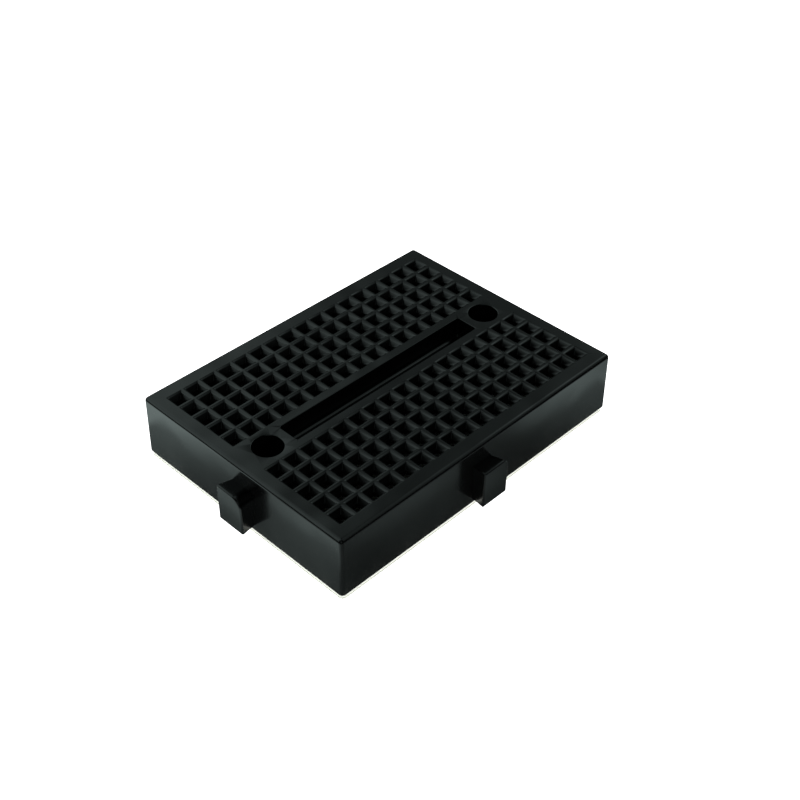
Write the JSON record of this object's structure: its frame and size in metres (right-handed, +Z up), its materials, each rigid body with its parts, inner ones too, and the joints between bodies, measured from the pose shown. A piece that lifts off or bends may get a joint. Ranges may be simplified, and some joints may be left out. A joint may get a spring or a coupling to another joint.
{
  "type": "solderless breadboard",
  "caption": "Small black solderless breadboard: square tie points in banks beside a centre channel, screw holes, linking tabs and an adhesive foam back.",
  "frame": {"origin": "middle of the release liner's underside, which is the middle of the board's footprint without its tabs, on the surface that the board lies on", "axes": "+Z up out of the deck, +X along the rows of columns away from the left tab, +Y across them away from the front tab"},
  "size_m": [0.0488, 0.0366, 0.009],
  "materials": {
    "black_plastic": "satin black moulding",
    "spring_metal": "nickel-plated spring strip",
    "white_foam": "closed-cell foam with adhesive faces",
    "waxed_paper": "silicone-coated paper"
  },
  "bodies": {
    "board": {"housing": "black_plastic", "contact_clip_a01": "spring_metal", "contact_clip_a02": "spring_metal", "contact_clip_a03": "spring_metal", "contact_clip_a04": "spring_metal", "contact_clip_a05": "spring_metal", "contact_clip_a06": "spring_metal", "contact_clip_a07": "spring_metal", "contact_clip_a08": "spring_metal", "contact_clip_a09": "spring_metal", "contact_clip_a10": "spring_metal", "contact_clip_a11": "spring_metal", "contact_clip_a12": "spring_metal", "contact_clip_a13": "spring_metal", "contact_clip_a14": "spring_metal", "contact_clip_a15": "spring_metal", "contact_clip_a16": "spring_metal", "contact_clip_a17": "spring_metal", "contact_clip_b01": "spring_metal", "contact_clip_b02": "spring_metal", "contact_clip_b03": "spring_metal", "contact_clip_b04": "spring_metal", "contact_clip_b05": "spring_metal", "contact_clip_b06": "spring_metal", "contact_clip_b07": "spring_metal", "contact_clip_b08": "spring_metal", "contact_clip_b09": "spring_metal", "contact_clip_b10": "spring_metal", "contact_clip_b11": "spring_metal", "contact_clip_b12": "spring_metal", "contact_clip_b13": "spring_metal", "contact_clip_b14": "spring_metal", "contact_clip_b15": "spring_metal", "contact_clip_b16": "spring_metal", "contact_clip_b17": "spring_metal", "foam_pad": "white_foam"},
    "liner": {"release_liner": "waxed_paper"}
  },
  "joints": [
    {"name": "liner_peel", "type": "hinge", "parent": "board", "child": "liner", "pos_m": [-0.02328, 0, 0.0001], "axis": [0, 1, 0], "range_deg": [0, 180]}
  ]
}
